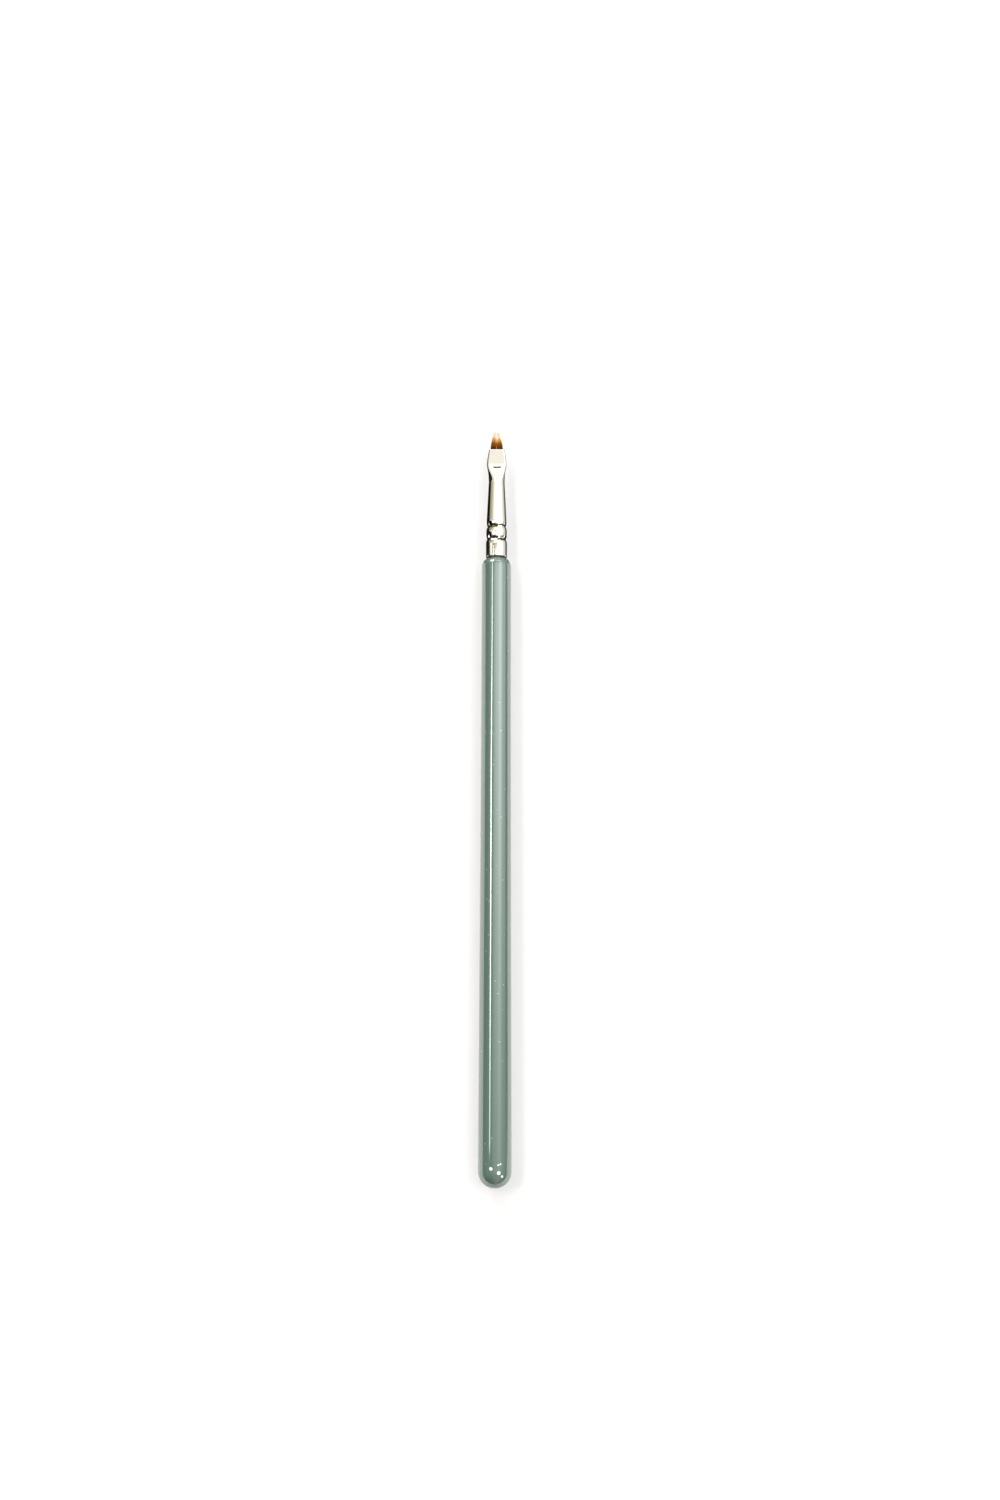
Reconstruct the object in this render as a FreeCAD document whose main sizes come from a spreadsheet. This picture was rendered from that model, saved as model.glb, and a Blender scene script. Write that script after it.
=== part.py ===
import FreeCAD, Part
import math
import os

import Sketcher
from FreeCAD import Vector

# Eyeliner brush, lying on a table with its bristles towards +Y.
#
# Every piece is drawn in one local frame: the brush axis is the local Y axis, and a
# station is the distance in mm from the butt of the handle along it. The pieces are then
# placed together, so that the middle of the brush is over the origin and the widest ring
# of the handle touches the table at Z = 0. The wide pressed face of the ferrule looks up.

doc = FreeCAD.newDocument("eyeliner_brush")

# Points closer than this, in mm, count as one place.
SAME_PLACE = 0.001

# Driving dimensions in mm. Each entry is: name, value, what it measures.
DIMENSIONS = [
    ("handle_length", 144.3, "butt of the handle to the rear rim of the ferrule"),
    ("butt_dia", 7.62, "handle at its widest, just in front of the rounded butt"),
    ("slim_dia", 6.88, "handle at its slim front end"),
    ("swell_run", 15.0, "length over which the fat end of the handle stays full"),
    ("slim_run", 72.0, "length over which the slim end of the handle stays slim"),
    ("shoulder_run", 1.6, "length of the rounded front shoulder of the handle"),
    ("shoulder_ledge", 0.03, "flat ring of the shoulder that stands out around the collar"),
    ("tenon_length", 11.7, "length of the tenon inside the ferrule"),
    ("tenon_gap", 0.03, "glue line between tenon and ferrule"),
    ("tube_wall", 0.2, "wall of the drawn ferrule tube"),
    ("collar_dia", 4.92, "outer diameter of the ferrule collar"),
    ("collar_run", 4.5, "rear rim of the ferrule to the rear crimp groove"),
    ("crimp_spacing", 3.0, "distance between the two crimp grooves"),
    ("crimp_depth", 0.28, "depth of each crimp groove below the collar"),
    ("crimp_radius", 0.6, "radius of the rolled groove"),
    ("crimp_round", 0.3, "rounding beside each groove"),
    ("bead_dia", 4.84, "outer diameter of the bead between the grooves"),
    ("cone_foot_dia", 4.8, "outer diameter of the cone at the front crimp"),
    ("cone_run", 10.7, "length of the cone, front crimp to waist"),
    ("waist_dia", 3.74, "outer diameter of the waist"),
    ("waist_flat", 0.02, "width of the pressed flat where it starts, at the waist"),
    ("flare_run", 4.3, "length of the flare, waist to crease"),
    ("flare_width", 3.98, "outer width halfway along the flare"),
    ("flare_thick", 2.9, "outer thickness there"),
    ("flare_roundness", 0.8, "corner radius there, as a share of half the thickness"),
    ("crease_width", 4.62, "outer width at the crease, where the flat face begins"),
    ("crease_thick", 1.9, "outer thickness at the crease"),
    ("face_run", 3.7, "length of the flat face, crease to mouth"),
    ("face_roundness", 0.68, "corner radius of the face, as a share of half the thickness"),
    ("cheek_width", 4.27, "outer width halfway along the face"),
    ("cheek_thick", 1.62, "outer thickness there"),
    ("mouth_width", 3.5, "outer width of the mouth"),
    ("mouth_thick", 1.32, "outer thickness of the mouth"),
    ("resin_gap", 0.02, "shrinkage of the cured resin inside the tube"),
    ("hair_gap", 0.03, "gap between the hair bundle and the tube"),
    ("hair_reach", 4.5, "mouth to the longest hair tip"),
    ("lock_foot", 0.5, "depth inside the mouth where the hair divides into locks"),
    ("lock_belly_dia", 0.62, "diameter of one lock halfway to its tip"),
    ("lock_tip_dia", 0.1, "diameter of the tip of one lock"),
    ("clump_offset", 0.47, "distance of the tip of each clump from the brush axis"),
    ("clump_pitch", 0.16, "distance between neighbouring tips in one clump"),
    ("tip_stagger", 0.7, "how far the shortest lock falls short of the longest"),
]

sheet = doc.addObject("Spreadsheet::Sheet", "dims")
for row, (name, value, meaning) in enumerate(DIMENSIONS, start=1):
    sheet.set(f"A{row}", name)
    sheet.set(f"B{row}", str(value))
    sheet.set(f"C{row}", meaning)
    sheet.setAlias(f"B{row}", name)
doc.recompute()

# Stations along the brush, each one a run in front of the one before.
JUNCTION = "dims.handle_length"
REAR_CRIMP = f"({JUNCTION} + dims.collar_run)"
FRONT_CRIMP = f"({REAR_CRIMP} + dims.crimp_spacing)"
WAIST = f"({FRONT_CRIMP} + dims.cone_run)"
FLARE = f"({WAIST} + dims.flare_run / 2)"
CREASE = f"({WAIST} + dims.flare_run)"
CHEEK = f"({CREASE} + dims.face_run / 2)"
MOUTH = f"({CREASE} + dims.face_run)"
HAIR_TIP = f"({MOUTH} + dims.hair_reach)"


# Expressions and places

def value_of(expression):
    """The present value of an expression, in mm."""
    return float(sheet.evalExpression(expression))


def at(across, up):
    """The present place of a sketch point that is given by two expressions."""
    return Vector(value_of(across), value_of(up), 0)


def place_on_table(piece):
    """Bind the place of a piece to the whole length and the widest ring of the handle."""
    piece.setExpression("Placement.Base.y", f"-{HAIR_TIP} / 2")
    piece.setExpression("Placement.Base.z", "dims.butt_dia / 2")


# Sketches

def origin_plane(body, role):
    """The body's own origin plane with this role."""
    for feature in body.Origin.OriginFeatures:
        if feature.Role == role:
            return feature
    raise ValueError(f"{body.Label} has no {role}")


def new_sketch(body, name, role):
    """A sketch on one of the body's origin planes."""
    sketch = body.newObject("Sketcher::SketchObject", name)
    sketch.AttachmentSupport = (origin_plane(body, role), [""])
    sketch.MapMode = "FlatFace"
    return sketch


def profile_sketch(body, name):
    """A sketch for a turned profile: radius across, station up."""
    return new_sketch(body, name, "XY_Plane")


def section_sketch(body, name, station):
    """A sketch across the brush at a station: width across, height up."""
    sketch = new_sketch(body, name, "XZ_Plane")
    sketch.setExpression("AttachmentOffset.Base.z", f"-{station}")
    return sketch


def bind(sketch, constraint, expression):
    """Add a dimension to a sketch and tie it to an expression."""
    index = sketch.addConstraint(constraint)
    sketch.setExpression(f"Constraints[{index}]", expression)


def pin_point(sketch, geometry, vertex, across, up):
    """Hold one point of a sketch at two expressions, from the sketch's origin."""
    point = sketch.getPoint(geometry, vertex)
    bind(sketch, Sketcher.Constraint("DistanceX", -1, 1, geometry, vertex, point.x), across)
    bind(sketch, Sketcher.Constraint("DistanceY", -1, 1, geometry, vertex, point.y), up)


def add_lines(sketch, corners):
    """Straight lines through a list of points, both ends of each one held."""
    for first, second in zip(corners[:-1], corners[1:]):
        line = sketch.addGeometry(Part.LineSegment(at(*first), at(*second)), False)
        pin_point(sketch, line, 1, *first)
        pin_point(sketch, line, 2, *second)


def add_circle(sketch, centre, radius):
    """A circle with its centre and radius held."""
    circle = sketch.addGeometry(
        Part.Circle(at(*centre), Vector(0, 0, 1), value_of(radius)), False)
    pin_point(sketch, circle, 3, *centre)
    bind(sketch, Sketcher.Constraint("Radius", circle, value_of(radius)), radius)


def add_arc(sketch, centre, radius, start, end):
    """An anticlockwise arc about a held centre, to the station of its end.

    Its start lies level with the centre, or straight below it.
    """
    middle = at(*centre)
    first = at(*start) - middle
    last = at(*end) - middle
    circle = Part.Circle(middle, Vector(0, 0, 1), value_of(radius))
    arc = sketch.addGeometry(
        Part.ArcOfCircle(circle, math.atan2(first.y, first.x), math.atan2(last.y, last.x)),
        False)
    pin_point(sketch, arc, 3, *centre)
    bind(sketch, Sketcher.Constraint("Radius", arc, value_of(radius)), radius)
    level = "Horizontal" if abs(first.y) < SAME_PLACE else "Vertical"
    sketch.addConstraint(Sketcher.Constraint(level, arc, 3, arc, 1))
    reached = Sketcher.Constraint("DistanceY", -1, 1, arc, 2, at(*end).y)
    bind(sketch, reached, end[1])


def add_curve(sketch, poles):
    """A smooth curve that leaves and arrives along the lines of its outer poles."""
    curve = Part.BSplineCurve()
    curve.buildFromPoles([at(*pole) for pole in poles], False, len(poles) - 1)
    index = sketch.addGeometry(curve, False)
    sketch.exposeInternalGeometry(index)
    for step, pole in enumerate(poles, start=1):
        pin_point(sketch, index + step, 3, *pole)


def add_rounded_oblong(sketch, half_width, half_thick, corner):
    """A rounded oblong about the sketch's origin: four corner arcs and four sides."""
    reach = f"({half_width}) - ({corner})"
    rise = f"({half_thick}) - ({corner})"
    quarter = math.pi / 2
    quadrants = [(1, 1), (-1, 1), (-1, -1), (1, -1)]
    arcs = []
    for quarters, (side, level) in enumerate(quadrants):
        centre = (f"{side} * ({reach})", f"{level} * ({rise})")
        circle = Part.Circle(at(*centre), Vector(0, 0, 1), value_of(corner))
        arc = sketch.addGeometry(
            Part.ArcOfCircle(circle, quarters * quarter, (quarters + 1) * quarter), False)
        pin_point(sketch, arc, 3, *centre)
        bind(sketch, Sketcher.Constraint("Radius", arc, value_of(corner)), corner)
        ends = ("Horizontal", "Vertical") if quarters % 2 == 0 else ("Vertical", "Horizontal")
        for vertex, direction in enumerate(ends, start=1):
            sketch.addConstraint(Sketcher.Constraint(direction, arc, 3, arc, vertex))
        arcs.append(arc)
    for arc, following in zip(arcs, arcs[1:] + arcs[:1]):
        side = Part.LineSegment(sketch.getPoint(arc, 2), sketch.getPoint(following, 1))
        line = sketch.addGeometry(side, False)
        sketch.addConstraint(Sketcher.Constraint("Coincident", line, 1, arc, 2))
        sketch.addConstraint(Sketcher.Constraint("Coincident", line, 2, following, 1))


# Features

def turn(body, sketch, name):
    """Revolve a profile about the brush axis."""
    turned = body.newObject("PartDesign::Revolution", name)
    turned.Profile = sketch
    turned.ReferenceAxis = (sketch, ["V_Axis"])
    turned.Angle = 360
    doc.recompute()


def roll_groove(body, sketch, name):
    """Cut a groove about the brush axis, and make sure that it bites."""
    volume_before = body.Shape.Volume
    groove = body.newObject("PartDesign::Groove", name)
    groove.Profile = sketch
    groove.ReferenceAxis = (sketch, ["V_Axis"])
    groove.Angle = 360
    doc.recompute()
    if body.Shape.Volume >= volume_before:
        raise ValueError(f"{name} cuts nothing from {body.Label}")


def loft(body, sketches, name):
    """Join sections into a smooth solid."""
    joined = body.newObject("PartDesign::AdditiveLoft", name)
    joined.Profile = sketches[0]
    joined.Sections = sketches[1:]
    doc.recompute()


def round_circles(body, name, radius, wanted):
    """Round the circular edges of a body whose station passes a test."""
    base = body.Tip
    edges = []
    for index, edge in enumerate(base.Shape.Edges, start=1):
        if isinstance(edge.Curve, Part.Circle) and wanted(edge.Curve.Center.y):
            edges.append(f"Edge{index}")
    if not edges:
        raise ValueError(f"{name} finds no edge to round")
    fillet = body.newObject("PartDesign::Fillet", name)
    fillet.Base = (base, edges)
    fillet.setExpression("Radius", radius)
    doc.recompute()


# The round rear of the ferrule, shared by its outside, its bore and the tenon inside it

def collar_to_cone(inset):
    """Profile points from the rear rim to the foot of the cone, `inset` further in."""
    collar = f"dims.collar_dia / 2 - {inset}"
    bead = f"dims.bead_dia / 2 - {inset}"
    return [
        (collar, JUNCTION),
        (collar, REAR_CRIMP),
        (bead, REAR_CRIMP),
        (bead, FRONT_CRIMP),
        (f"dims.cone_foot_dia / 2 - {inset}", FRONT_CRIMP),
    ]


def roll_crimps(body, inset):
    """Roll both crimp grooves into a turned body."""
    centre = "dims.collar_dia / 2 - dims.crimp_depth + dims.crimp_radius"
    for where, station in (("rear_crimp", REAR_CRIMP), ("front_crimp", FRONT_CRIMP)):
        name = f"{body.Name}_{where}"
        sketch = profile_sketch(body, f"{name}_profile")
        add_circle(sketch, (centre, station), f"dims.crimp_radius + {inset}")
        roll_groove(body, sketch, name)


# Handle: turned wood. A round butt, a long taper that is full at the butt and slim in
# front, a rounded shoulder, and a tenon that fills the ferrule and runs into its cone.

def shape_handle():
    """The turned handle, with the crimp grooves pressed into its tenon."""
    body = doc.addObject("PartDesign::Body", "handle")
    sketch = profile_sketch(body, "handle_profile")
    butt = "dims.butt_dia / 2"
    slim = "dims.slim_dia / 2"
    foot = "(dims.collar_dia / 2 + dims.shoulder_ledge)"
    shoulder = f"{JUNCTION} - dims.shoulder_run"
    add_arc(sketch, centre=("0", butt), radius=butt, start=("0", "0"), end=(butt, butt))
    add_curve(sketch, [
        (butt, butt),
        (butt, f"{butt} + dims.swell_run"),
        (slim, f"{shoulder} - dims.slim_run"),
        (slim, shoulder),
    ])
    drop = f"({slim} - {foot})"
    shoulder_radius = f"(dims.shoulder_run ^ 2 + {drop} ^ 2) / (2 * {drop})"
    add_arc(
        sketch,
        centre=(f"{slim} - {shoulder_radius}", shoulder),
        radius=shoulder_radius,
        start=(slim, shoulder),
        end=(foot, JUNCTION),
    )
    inset = "(dims.tube_wall + dims.tenon_gap)"
    cone_slope = "(dims.cone_foot_dia - dims.waist_dia) / 2 / dims.cone_run"
    in_cone = "(dims.tenon_length - dims.collar_run - dims.crimp_spacing)"
    tenon_end = f"{JUNCTION} + dims.tenon_length"
    rear = collar_to_cone(inset)
    front = [
        (f"dims.cone_foot_dia / 2 - {inset} - {cone_slope} * {in_cone}", tenon_end),
        ("0", tenon_end),
        ("0", "0"),
    ]
    add_lines(sketch, [(foot, JUNCTION)] + rear + front)
    turn(body, sketch, "handle_turned")
    roll_crimps(body, inset)
    place_on_table(body)
    return body


# Ferrule: a drawn tube, so its outside and its bore have the same form, and the bore lies
# one wall inside the outside. The rear is turned, with a collar, two rolled grooves and a
# cone. The front is pressed flat from the waist to the mouth.

# Sections of the pressed front: name, station, width, thickness and corner radius. At the
# waist the section is a circle with the first trace of a flat.
FLARE_SECTIONS = [
    ("waist", WAIST, "dims.waist_dia", "dims.waist_dia", "(dims.waist_dia - dims.waist_flat) / 2"),
    ("flare", FLARE, "dims.flare_width", "dims.flare_thick",
     "dims.flare_thick / 2 * dims.flare_roundness"),
    ("crease", CREASE, "dims.crease_width", "dims.crease_thick",
     "dims.crease_thick / 2 * dims.face_roundness"),
]
FACE_SECTIONS = [
    FLARE_SECTIONS[-1],
    ("cheek", CHEEK, "dims.cheek_width", "dims.cheek_thick",
     "dims.cheek_thick / 2 * dims.face_roundness"),
    ("mouth", MOUTH, "dims.mouth_width", "dims.mouth_thick",
     "dims.mouth_thick / 2 * dims.face_roundness"),
]


def loft_stretch(body, name, sections, inset):
    """Loft a stretch of the pressed front, drawn `inset` inside its outer surface."""
    sketches = []
    for where, station, width, thick, corner in sections:
        sketch = section_sketch(body, f"{name}_{where}", station)
        add_rounded_oblong(
            sketch,
            half_width=f"{width} / 2 - {inset}",
            half_thick=f"{thick} / 2 - {inset}",
            corner=f"{corner} - {inset}",
        )
        sketches.append(sketch)
    loft(body, sketches, name)


def turn_tube(body, inset):
    """The round rear of the tube, from its rear rim to the waist."""
    sketch = profile_sketch(body, f"{body.Name}_profile")
    front = [
        (f"dims.waist_dia / 2 - {inset}", WAIST),
        ("0", WAIST),
        ("0", JUNCTION),
    ]
    add_lines(sketch, [("0", JUNCTION)] + collar_to_cone(inset) + front)
    turn(body, sketch, f"{body.Name}_turned")
    roll_crimps(body, inset)


def press_front(body, inset):
    """The pressed front of the tube: the flare up to the crease, then the flat face."""
    loft_stretch(body, f"{body.Name}_flare", FLARE_SECTIONS, inset)
    loft_stretch(body, f"{body.Name}_face", FACE_SECTIONS, inset)


def round_outside(outside):
    """Soften the shoulders of both grooves and the rear rim of the collar."""
    crimps = (value_of(REAR_CRIMP), value_of(FRONT_CRIMP))
    reach = value_of("dims.crimp_radius")
    rim = value_of(JUNCTION)
    round_circles(
        outside,
        "crimp_shoulders",
        "dims.crimp_round",
        lambda station: any(SAME_PLACE < abs(station - crimp) < reach for crimp in crimps),
    )
    round_circles(
        outside,
        "collar_rim",
        "dims.tube_wall / 2",
        lambda station: abs(station - rim) < SAME_PLACE,
    )


def shape_ferrule():
    """The tube: its outside less its bore."""
    outside = doc.addObject("PartDesign::Body", "ferrule_outside")
    turn_tube(outside, "0")
    round_outside(outside)
    press_front(outside, "0")
    bore = doc.addObject("PartDesign::Body", "ferrule_bore")
    turn_tube(bore, "dims.tube_wall")
    press_front(bore, "dims.tube_wall")
    tube = doc.addObject("Part::Cut", "ferrule")
    tube.Base = outside
    tube.Tool = bore
    place_on_table(tube)
    return tube


# Glue button: cured resin that fills the flare of the ferrule, behind the hair roots.

def shape_glue_button():
    """The resin, shrunk a little from the bore that it was poured into."""
    body = doc.addObject("PartDesign::Body", "glue_button")
    loft_stretch(body, "resin_fill", FLARE_SECTIONS, "(dims.tube_wall + dims.resin_gap)")
    place_on_table(body)
    return body


# Bristle tuft: the hair roots stand on the resin and fill the flat face of the ferrule.
# In front of the mouth the hair runs in round locks, which draw together in two clumps.

HAIR_INSET = "(dims.tube_wall + dims.hair_gap)"

# How far each lock falls short of the longest one, as a share of the stagger, from -X to
# +X. The first half of the locks makes the one clump, and the second half the other.
LOCK_SHORTFALLS = [0.55, 0.2, 0.0, 0.45, 0.3, 0.0, 0.35, 1.0]


def shape_bristle_tuft():
    """The hair bundle as one closed solid."""
    body = doc.addObject("PartDesign::Body", "bristle_tuft")
    loft_stretch(body, "hair_roots", FACE_SECTIONS, HAIR_INSET)
    for place in range(len(LOCK_SHORTFALLS)):
        add_lock(body, place)
    place_on_table(body)
    return body


def add_lock(body, place):
    """One lock of hair. Its foot fills the mouth, and its tip leans to its clump."""
    count = len(LOCK_SHORTFALLS)
    clump_count = count // 2
    side = -1 if place < clump_count else 1
    steps_from_middle = place - (count - 1) / 2
    steps_in_clump = place % clump_count - (clump_count - 1) / 2
    foot_radius = f"(dims.mouth_thick / 2 - {HAIR_INSET})"
    pitch = f"(dims.mouth_width - dims.mouth_thick) / {count - 1}"
    foot = (f"{pitch} * {steps_from_middle}", f"({MOUTH} - dims.lock_foot)")
    tip = (
        f"{side} * dims.clump_offset + dims.clump_pitch * {steps_in_clump}",
        f"({HAIR_TIP} - dims.tip_stagger * {LOCK_SHORTFALLS[place]})",
    )
    belly = (f"({foot[0]} + {tip[0]}) / 2", f"({foot[1]} + {tip[1]}) / 2")
    sketches = []
    for where, (across, station), radius in (
        ("foot", foot, foot_radius),
        ("belly", belly, "dims.lock_belly_dia / 2"),
        ("tip", tip, "dims.lock_tip_dia / 2"),
    ):
        sketch = section_sketch(body, f"lock_{place}_{where}", f"({station})")
        add_circle(sketch, (across, "0"), radius)
        sketches.append(sketch)
    loft(body, sketches, f"lock_{place}")


def check_pieces(pieces):
    """Raise if any object failed to rebuild, or a piece is not one valid solid."""
    for part_object in doc.Objects:
        if {"Invalid", "Error"} & set(part_object.State):
            raise ValueError(f"{part_object.Label} failed: {part_object.State}")
    for piece in pieces:
        if piece.Shape.isNull() or not piece.Shape.isValid():
            raise ValueError(f"{piece.Label} has no valid shape")
        if len(piece.Shape.Solids) != 1:
            raise ValueError(f"{piece.Label} is {len(piece.Shape.Solids)} solids, not one")


pieces = [shape_handle(), shape_ferrule(), shape_glue_button(), shape_bristle_tuft()]
doc.recompute()
check_pieces(pieces)

os.makedirs("parts", exist_ok=True)
for piece in pieces:
    piece.Shape.exportStep(f"parts/{piece.Label}.step")
    print(f"{piece.Label}: {piece.Shape.Volume:.2f} mm3, {piece.Shape.optimalBoundingBox()}")
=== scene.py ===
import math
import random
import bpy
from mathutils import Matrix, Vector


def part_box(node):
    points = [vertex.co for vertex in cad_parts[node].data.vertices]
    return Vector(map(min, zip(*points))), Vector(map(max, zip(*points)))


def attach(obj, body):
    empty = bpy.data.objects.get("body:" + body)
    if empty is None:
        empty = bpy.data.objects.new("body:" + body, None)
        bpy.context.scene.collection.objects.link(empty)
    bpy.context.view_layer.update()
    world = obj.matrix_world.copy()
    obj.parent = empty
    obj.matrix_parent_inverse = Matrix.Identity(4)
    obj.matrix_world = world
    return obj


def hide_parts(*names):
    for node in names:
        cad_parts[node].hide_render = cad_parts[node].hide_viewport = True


bl_info = {
    "name": "Eyeliner Brush",
    "version": (1, 0, 0),
    "blender": (4, 5, 0),
    "location": "3D View > Sidebar > Brush",
    "description": "Dresses an eyeliner brush: lacquered handle, nickel ferrule, resin and hair",
    "category": "Object",
}

import bmesh
import bpy
from bpy.props import FloatProperty, FloatVectorProperty, IntProperty, PointerProperty
from mathutils import Vector

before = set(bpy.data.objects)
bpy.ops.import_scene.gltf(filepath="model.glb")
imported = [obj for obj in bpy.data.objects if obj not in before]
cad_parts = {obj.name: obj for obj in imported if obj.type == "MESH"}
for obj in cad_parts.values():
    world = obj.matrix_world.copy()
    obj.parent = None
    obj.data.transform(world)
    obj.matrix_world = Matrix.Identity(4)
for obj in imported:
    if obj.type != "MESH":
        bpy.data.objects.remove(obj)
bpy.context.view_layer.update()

# The brush lies along Y, with the butt of its handle at -Y and its hair at +Y. Stations
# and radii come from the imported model, so that each piece stands where its solid does.

MM = 0.001
HANDLE_LOW, HANDLE_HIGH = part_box("handle")
FERRULE_LOW, FERRULE_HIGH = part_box("ferrule")
HAIR_LOW, HAIR_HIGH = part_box("bristle_tuft")

BUTT_END = HANDLE_LOW.y
TENON_END = HANDLE_HIGH.y
JUNCTION = FERRULE_LOW.y
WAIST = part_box("glue_button")[0].y
CREASE = HAIR_LOW.y
MOUTH = FERRULE_HIGH.y
HAIR_TIP = HAIR_HIGH.y
AXIS_HEIGHT = (HANDLE_LOW.z + HANDLE_HIGH.z) / 2
BUTT_RADIUS = (HANDLE_HIGH.x - HANDLE_LOW.x) / 2
COLLAR_RADIUS = (FERRULE_HIGH.x - FERRULE_LOW.x) / 2


# Settings

def length(name, description, default):
    """A length in metres, as the sidebar shows it."""
    return FloatProperty(
        name=name, description=description, default=default, min=0.0, precision=5,
        unit="LENGTH", subtype="DISTANCE",
    )


def color(name, description, default):
    """A colour in linear light, as the sidebar shows it."""
    return FloatVectorProperty(
        name=name, description=description, default=default, size=3, min=0.0, max=1.0,
        subtype="COLOR",
    )


def plain(name, description, default, top=100.0):
    """A plain number, such as a share or a brightness."""
    return FloatProperty(name=name, description=description, default=default, min=0.0, max=top)


def angle(name, description, degrees):
    """An angle, given in degrees."""
    return FloatProperty(
        name=name, description=description, default=math.radians(degrees),
        unit="ROTATION", subtype="ANGLE",
    )


class HandleSettings(bpy.types.PropertyGroup):
    """Sizes and colours of the turned handle."""
    slim_radius: length("Slim radius", "Radius of the slim front end", 3.44 * MM)
    swell_run: length("Swell run", "Length over which the fat end stays full", 15.0 * MM)
    slim_run: length("Slim run", "Length over which the slim end stays slim", 72.0 * MM)
    shoulder_run: length("Shoulder run", "Length of the rounded front shoulder", 1.3 * MM)
    shoulder_fullness: plain(
        "Shoulder fullness", "From 1, a straight chamfer, to 2, a round", 1.4, 2.0)
    # The seam behind the ferrule is a recess, and its ring is painted near black as shade.
    seam_width: length("Seam width", "Bare ring between the lacquer and the ferrule", 0.42 * MM)
    seam_step: length("Seam step", "Height of the lacquer's foot over the collar", 0.12 * MM)
    tenon_inset: length("Tenon inset", "Tube wall and glue line together", 0.23 * MM)
    lacquer: color("Lacquer", "Colour of the lacquer", (0.082, 0.118, 0.096))
    # Painted shade: colour of the ring in the recess behind the ferrule.
    seam: color("Seam", "Colour of the ring behind the ferrule", (0.012, 0.013, 0.010))
    # This pale colour serves both the dust nibs and the painted highlights near the butt.
    dust_and_highlight: color("Fleck", "Colour of the pale flecks", (0.92, 0.93, 0.90))


class FerruleSettings(bpy.types.PropertyGroup):
    """Sizes and colours of the metal tube."""
    wall: length("Wall", "Thickness of the drawn tube", 0.2 * MM)
    collar_run: length("Collar run", "Rear rim to the rear crimp groove", 4.5 * MM)
    crimp_spacing: length("Crimp spacing", "Distance between the crimp grooves", 3.0 * MM)
    crimp_depth: length("Crimp depth", "Depth of each crimp groove", 0.28 * MM)
    bead_radius: length("Bead radius", "Radius of the bead between the grooves", 2.42 * MM)
    cone_radius: length("Cone radius", "Radius of the cone at the front crimp", 2.40 * MM)
    waist_radius: length("Waist radius", "Radius of the waist", 1.87 * MM)
    crease_width: length("Crease width", "Half width where the flat face begins", 2.31 * MM)
    crease_thick: length("Crease thickness", "Half thickness there", 0.95 * MM)
    mouth_width: length("Mouth width", "Half width of the mouth", 1.75 * MM)
    mouth_thick: length("Mouth thickness", "Half thickness of the mouth", 0.66 * MM)
    nickel: color("Nickel", "Colour of the plating", (0.90, 0.88, 0.79))
    # Dark paint on the tube: partly dirt, partly painted shade and painted dark reflections.
    dirt_and_shade_color: color("Tarnish", "Colour of the dirt in the grooves", (0.028, 0.022, 0.006))


class HairSettings(bpy.types.PropertyGroup):
    """Sizes and colours of the hair."""
    pitch: length("Pitch", "Distance between neighbouring strands at the mouth", 0.082 * MM)
    strand_radius: length("Strand radius", "Radius of one strand at its root", 0.036 * MM)
    tip_radius: length("Tip radius", "Radius of one strand at its tip", 0.006 * MM)
    hair_gap: length("Hair gap", "Gap between the hair and the tube", 0.03 * MM)
    clump_offset: length("Clump offset", "Brush axis to the tip of each clump", 0.45 * MM)
    clump_spread: length("Clump spread", "Half width of each clump at its tip", 0.36 * MM)
    parting: length("Parting", "Half width of the parting between the clumps", 0.11 * MM)
    tip_stagger: length("Tip stagger", "Longest strand less the shortest", 0.7 * MM)
    root: color("Root", "Colour of the hair at the mouth", (0.020, 0.005, 0.0005))
    belly: color("Belly", "Colour of the hair halfway", (0.215, 0.066, 0.002))
    neck: color("Neck", "Colour of the hair below its tips", (0.600, 0.285, 0.060))
    tip: color("Tip", "Colour of the hair tips", (0.840, 0.690, 0.550))
    seed: IntProperty(name="Seed", description="Start of the random draws", default=7, min=0)


class StageSettings(bpy.types.PropertyGroup):
    """The camera, the floor and the studio light."""
    camera_side: length("Camera side", "Camera to the right of the brush axis", 1.05 * MM)
    camera_back: length("Camera back", "Camera towards the butt from the middle", 33.69 * MM)
    camera_height: length("Camera height", "Camera above the table", 371.3 * MM)
    camera_tilt: angle("Camera tilt", "Tilt of the view towards the hair", 7.0)
    camera_turn: angle("Camera turn", "Turn of the picture", 0.14)
    focal_length: plain("Focal length", "Focal length in mm on a 36 mm side", 38.4, 500.0)
    floor_size: length("Floor size", "Side of the square floor", 4.0)
    floor: color("Floor", "Colour of the table", (0.370, 0.350, 0.353))
    backdrop: plain("Backdrop", "Brightness of the room behind the table", 1.0)
    studio: plain("Studio", "Brightness of the studio light", 6.0)
    light: color("Light", "Colour of the studio light", (0.94, 1.0, 0.985))
    # The table glows though it is no lamp: painted light for the camera, on the brush and in
    # reflections.
    glow: plain("Glow", "Light that the table adds, as seen by the camera", 0.38)
    bounce: plain("Bounce", "Light that the table adds on other pieces", 0.92)
    near_gleam: plain("Near gleam", "Light of the table in reflections, beside the brush", 0.72)
    far_gleam: plain("Far gleam", "Light of the table in reflections, further off", 1.67)
    lamp: plain("Lamp", "Strength of the lamp that draws the shadow on the right", 0.85)
    lamp_color: color("Lamp colour", "Colour of that lamp", (1.0, 0.85, 0.75))


# Mesh tools

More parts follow.
